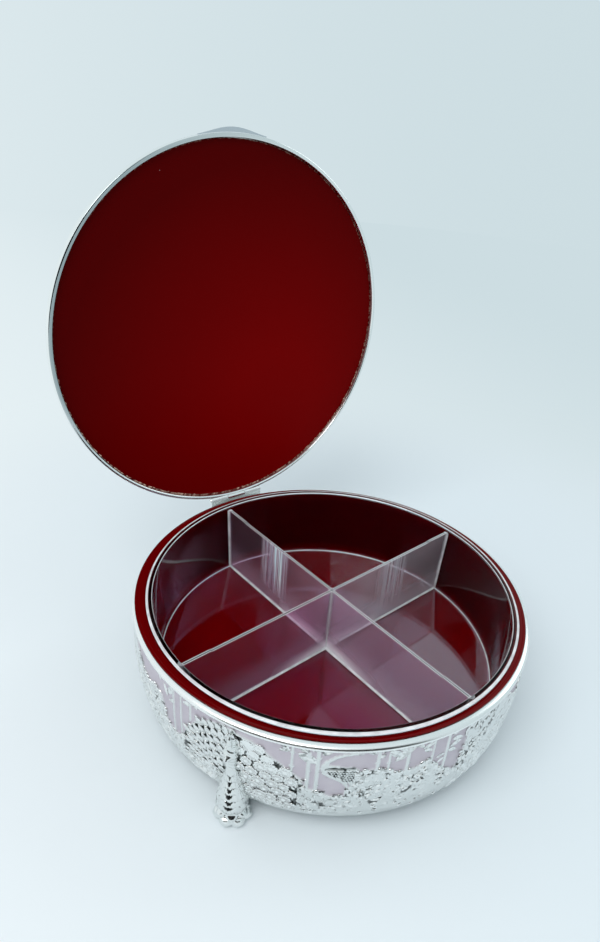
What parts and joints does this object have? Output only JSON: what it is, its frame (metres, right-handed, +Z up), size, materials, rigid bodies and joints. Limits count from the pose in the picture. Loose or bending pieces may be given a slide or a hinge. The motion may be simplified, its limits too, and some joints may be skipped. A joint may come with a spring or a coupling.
{
  "type": "dried fruit box",
  "caption": "Round embossed metal box on cast bird feet, with a hinged lid, a red liner and a clear tray with a cross of dividers.",
  "frame": {"origin": "centre of the flat underside of the bowl's base", "axes": "+Z up along the bowl's axis, hinge at the back (+Y), front of the box towards -Y"},
  "size_m": [0.25, 0.2943, 0.3296],
  "materials": {
    "polished_silver_plate": "polished silver plate",
    "embossed_silver_sheet": "bright embossed relief over satin panels",
    "cast_silver_plate": "polished casting",
    "red_acrylic": "high gloss dark red",
    "clear_styrene": "clear moulded plastic",
    "bright_steel": "bright"
  },
  "bodies": {
    "bowl": {"body_shell": "embossed_silver_sheet", "base_plate": "embossed_silver_sheet", "rim_band": "polished_silver_plate", "red_liner": "red_acrylic", "foot_left": "cast_silver_plate", "foot_right": "cast_silver_plate", "foot_rear": "cast_silver_plate", "foot_screw_left": "bright_steel", "foot_screw_right": "bright_steel", "foot_screw_rear": "bright_steel", "foot_washer_left": "bright_steel", "foot_washer_right": "bright_steel", "foot_washer_rear": "bright_steel", "hinge_bowl_leaf": "polished_silver_plate", "hinge_pin": "polished_silver_plate", "bowl_rivet_left": "polished_silver_plate", "bowl_rivet_right": "polished_silver_plate"},
    "lid": {"lid_rim": "polished_silver_plate", "lid_shell": "embossed_silver_sheet", "lid_panel": "red_acrylic", "thumb_tab": "polished_silver_plate", "hinge_lid_leaf": "polished_silver_plate", "lid_rivet_left": "polished_silver_plate", "lid_rivet_right": "polished_silver_plate"},
    "tray": {"clear_tray": "clear_styrene"}
  },
  "joints": [
    {"name": "lid_hinge", "type": "hinge", "parent": "bowl", "child": "lid", "pos_m": [0, 0.1255, 0.0692], "axis": [1, 0, 0], "range_deg": [0, 94.7]},
    {"name": "tray_turn", "type": "hinge", "parent": "bowl", "child": "tray", "pos_m": [-0.0005, -0.0016, 0.0188], "axis": [0, 0, 1], "continuous": true}
  ]
}
